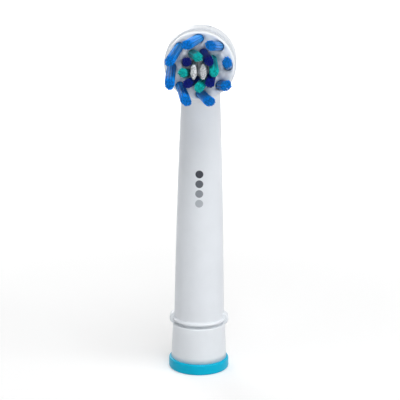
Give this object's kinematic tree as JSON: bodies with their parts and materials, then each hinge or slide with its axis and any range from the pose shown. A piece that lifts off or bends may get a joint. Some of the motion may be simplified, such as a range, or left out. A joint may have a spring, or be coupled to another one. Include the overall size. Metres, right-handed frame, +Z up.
{
  "type": "electric toothbrush head",
  "caption": "Round oscillating brush head on a tapered hollow neck, driven by a bent rod inside, with leaning bristle tufts and a coloured ring round its socketed base.",
  "frame": {"origin": "on the neck's axis, in the plane that the colour ring stands on", "axes": "+Z up the neck's axis to the disc, -Y the way the bristles face, +X to the right seen from the bristles"},
  "size_m": [0.0152, 0.0212, 0.0769],
  "materials": {
    "white_plastic": "satin moulded, cool white",
    "collar_plastic": "satin moulded, cool white",
    "disc_plastic": "satin moulded, cool white",
    "cyan_plastic": "gloss moulded, cyan",
    "sleeve_plastic": "moulded, natural white",
    "steel": "drawn bright wire",
    "spring_steel": "stamped spring strip",
    "blue_bristle": "nylon filament, blue",
    "teal_bristle": "nylon filament, teal",
    "navy_bristle": "nylon filament, navy",
    "white_bristle": "nylon filament, white"
  },
  "bodies": {
    "housing": {"neck_housing": "white_plastic", "coupling_insert": "collar_plastic", "colour_ring": "cyan_plastic", "retaining_pin": "steel"},
    "drive": {"drive_coupling": "sleeve_plastic", "drive_rod": "steel", "shaft_clip": "spring_steel"},
    "carrier": {"bristle_carrier": "disc_plastic", "outer_tuft_1": "blue_bristle", "outer_tuft_2": "blue_bristle", "outer_tuft_3": "blue_bristle", "outer_tuft_4": "blue_bristle", "outer_tuft_5": "blue_bristle", "outer_tuft_6": "blue_bristle", "outer_tuft_7": "blue_bristle", "outer_tuft_8": "blue_bristle", "teal_tuft_1": "teal_bristle", "teal_tuft_2": "teal_bristle", "teal_tuft_3": "teal_bristle", "teal_tuft_4": "teal_bristle", "navy_tuft_1": "navy_bristle", "navy_tuft_2": "navy_bristle", "navy_tuft_3": "navy_bristle", "navy_tuft_4": "navy_bristle", "centre_tuft_right": "white_bristle", "centre_tuft_left": "white_bristle"}
  },
  "joints": [
    {"name": "drive_turn", "type": "hinge", "parent": "housing", "child": "drive", "pos_m": [0, 0, 0.0202], "axis": [0, 0, 1], "range_deg": [-24.6, 24.6]},
    {"name": "carrier_swing", "type": "hinge", "parent": "housing", "child": "carrier", "pos_m": [0, -0.0048, 0.0693], "axis": [0, -1, 0], "range_deg": [-22.6, 22.6]}
  ],
  "couplings": [
    {"joint": "carrier_swing", "follows": "drive_turn", "ratio": 0.915}
  ]
}
